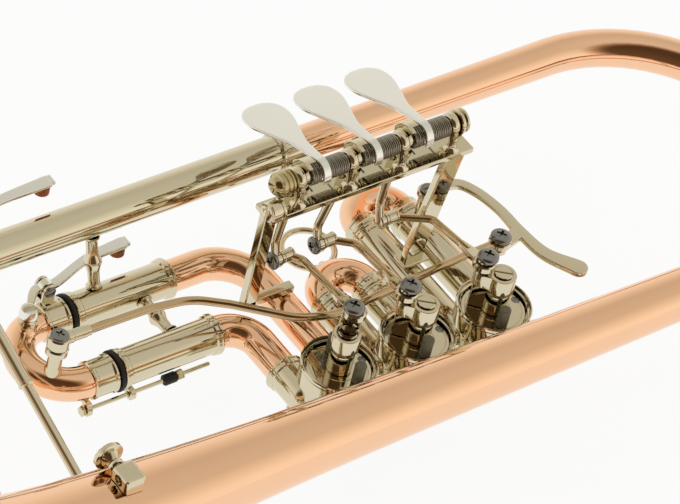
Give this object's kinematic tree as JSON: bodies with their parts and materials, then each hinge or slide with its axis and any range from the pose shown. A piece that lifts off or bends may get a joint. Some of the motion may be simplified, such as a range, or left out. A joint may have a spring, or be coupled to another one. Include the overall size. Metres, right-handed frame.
{
  "type": "rotary valve trumpet",
  "caption": "Rotary valve trumpet with sprung finger paddles, link rods to the rotors, a trigger for the third slide, pull slides and water keys.",
  "frame": {"origin": "centre of the bounding box at rest", "axes": "+X along the tubes towards the mouthpiece, +Y from the bell tube to the finger paddles, +Z out of the valve caps"},
  "size_m": [0.487, 0.1992, 0.13],
  "materials": {
    "gold_brass": "mirror lacquer",
    "nickel_silver": "mirror polish",
    "pale_nickel": "polished plate",
    "brass": "polished",
    "dark_steel": "drawn wire",
    "rubber": "matt"
  },
  "bodies": {
    "base": {"casing_1": "nickel_silver", "knurled_ring_1": "nickel_silver", "bearing_plate_1": "nickel_silver", "back_cap_1": "nickel_silver", "paddle_spring_1": "dark_steel", "casing_2": "nickel_silver", "knurled_ring_2": "nickel_silver", "bearing_plate_2": "nickel_silver", "back_cap_2": "nickel_silver", "paddle_spring_2": "dark_steel", "casing_3": "nickel_silver", "knurled_ring_3": "nickel_silver", "bearing_plate_3": "nickel_silver", "back_cap_3": "nickel_silver", "paddle_spring_3": "dark_steel", "leadpipe": "gold_brass", "mouthpiece_receiver": "nickel_silver", "bell": "gold_brass", "main_sleeve_far": "nickel_silver", "main_sleeve_near": "nickel_silver", "main_brace": "nickel_silver", "third_tube_a": "gold_brass", "third_sleeve_a": "nickel_silver", "third_tube_b": "gold_brass", "third_sleeve_b": "nickel_silver", "paddle_frame": "nickel_silver", "hinge_rod": "nickel_silver", "trigger_bracket": "nickel_silver", "stay_far_to_third": "nickel_silver", "stay_third": "nickel_silver", "stay_bell_to_lead": "nickel_silver", "stay_bell_to_main": "nickel_silver", "lyre_socket": "nickel_silver", "lyre_screw": "nickel_silver"},
    "paddle_1_body": {"paddle_1": "pale_nickel"},
    "link_1_body": {"link_rod_1": "brass"},
    "valve_1_body": {"rotor_1": "nickel_silver", "stop_arm_1": "nickel_silver"},
    "paddle_2_body": {"paddle_2": "pale_nickel"},
    "link_2_body": {"link_rod_2": "brass"},
    "valve_2_body": {"rotor_2": "nickel_silver", "stop_arm_2": "nickel_silver"},
    "paddle_3_body": {"paddle_3": "pale_nickel"},
    "link_3_body": {"link_rod_3": "brass"},
    "valve_3_body": {"rotor_3": "nickel_silver", "stop_arm_3": "nickel_silver"},
    "third_slide_body": {"third_slide": "gold_brass", "trigger_rod": "brass", "third_stop_rod": "nickel_silver", "third_rubber_a": "rubber", "third_rubber_b": "rubber"},
    "trigger_body": {"trigger_lever": "nickel_silver"},
    "first_slide_body": {"first_slide": "gold_brass"},
    "second_slide_body": {"second_slide": "gold_brass"},
    "main_slide_body": {"main_slide": "gold_brass"},
    "third_key_body": {"water_key_third": "pale_nickel"},
    "main_key_body": {"water_key_main": "pale_nickel"}
  },
  "joints": [
    {"name": "paddle_1_press", "type": "hinge", "parent": "base", "child": "paddle_1_body", "pos_m": [0.06725, 0.0465, 0.0308], "axis": [-1, 0, 0], "range_deg": [0, 15.6], "stiffness_Nm_per_rad": 0.05, "springref_deg": -34.38},
    {"name": "link_1_swing", "type": "hinge", "parent": "paddle_1_body", "child": "link_1_body", "pos_m": [0.0572, 0.0437, -0.0042], "axis": [-1, 0, 0], "range_deg": [-18.72, 0]},
    {"name": "rotor_1_turn", "type": "hinge", "parent": "base", "child": "valve_1_body", "pos_m": [0.0753, 0.0012, -0.0312], "axis": [0, 0, 1], "range_deg": [0, 90]},
    {"name": "paddle_2_press", "type": "hinge", "parent": "base", "child": "paddle_2_body", "pos_m": [0.04515, 0.0465, 0.0308], "axis": [-1, 0, 0], "range_deg": [0, 15.6], "stiffness_Nm_per_rad": 0.05, "springref_deg": -34.38},
    {"name": "link_2_swing", "type": "hinge", "parent": "paddle_2_body", "child": "link_2_body", "pos_m": [0.03, 0.0437, -0.0042], "axis": [-1, 0, 0], "range_deg": [-18.72, 0]},
    {"name": "rotor_2_turn", "type": "hinge", "parent": "base", "child": "valve_2_body", "pos_m": [0.0415, 0.0012, -0.0312], "axis": [0, 0, 1], "range_deg": [0, 90]},
    {"name": "paddle_3_press", "type": "hinge", "parent": "base", "child": "paddle_3_body", "pos_m": [0.02305, 0.0465, 0.0308], "axis": [-1, 0, 0], "range_deg": [0, 15.6], "stiffness_Nm_per_rad": 0.05, "springref_deg": -34.38},
    {"name": "link_3_swing", "type": "hinge", "parent": "paddle_3_body", "child": "link_3_body", "pos_m": [0.012, 0.0437, -0.0042], "axis": [-1, 0, 0], "range_deg": [-18.72, 0]},
    {"name": "rotor_3_turn", "type": "hinge", "parent": "base", "child": "valve_3_body", "pos_m": [0.0077, 0.0012, -0.0312], "axis": [0, 0, -1], "range_deg": [0, 90]},
    {"name": "third_slide_pull", "type": "slide", "parent": "base", "child": "third_slide_body", "axis": [-1, 0, 0], "range_m": [0, 0.012], "stiffness_N_per_m": 60, "springref_m": -0.02},
    {"name": "trigger_turn", "type": "hinge", "parent": "base", "child": "trigger_body", "pos_m": [0.0855, 0.0557, -0.014], "axis": [0, 0, -1], "range_deg": [0, 20.1]},
    {"name": "first_slide_pull", "type": "slide", "parent": "base", "child": "first_slide_body", "axis": [0, 1, 0], "range_m": [0, 0.016]},
    {"name": "second_slide_pull", "type": "slide", "parent": "base", "child": "second_slide_body", "axis": [0, 1, 0], "range_m": [0, 0.01]},
    {"name": "main_slide_pull", "type": "slide", "parent": "base", "child": "main_slide_body", "axis": [-1, 0, 0], "range_m": [0, 0.02]},
    {"name": "third_key_press", "type": "hinge", "parent": "third_slide_body", "child": "third_key_body", "pos_m": [-0.0625, 0.0787, -0.0196], "axis": [0, 1, 0], "range_deg": [0, 10], "stiffness_Nm_per_rad": 0.02, "springref_deg": -28.65},
    {"name": "main_key_press", "type": "hinge", "parent": "main_slide_body", "child": "main_key_body", "pos_m": [-0.1067, 0.0903, 0.0116], "axis": [0, 1, 0], "range_deg": [0, 10], "stiffness_Nm_per_rad": 0.02, "springref_deg": -28.65}
  ],
  "couplings": [
    {"joint": "link_1_swing", "follows": "paddle_1_press", "ratio": -1.2},
    {"joint": "rotor_1_turn", "follows": "paddle_1_press", "ratio": 5.7692},
    {"joint": "link_2_swing", "follows": "paddle_2_press", "ratio": -1.2},
    {"joint": "rotor_2_turn", "follows": "paddle_2_press", "ratio": 5.7692},
    {"joint": "link_3_swing", "follows": "paddle_3_press", "ratio": -1.2},
    {"joint": "rotor_3_turn", "follows": "paddle_3_press", "ratio": 5.7692},
    {"joint": "trigger_turn", "follows": "third_slide_pull", "rad_per_m": 29.234}
  ]
}
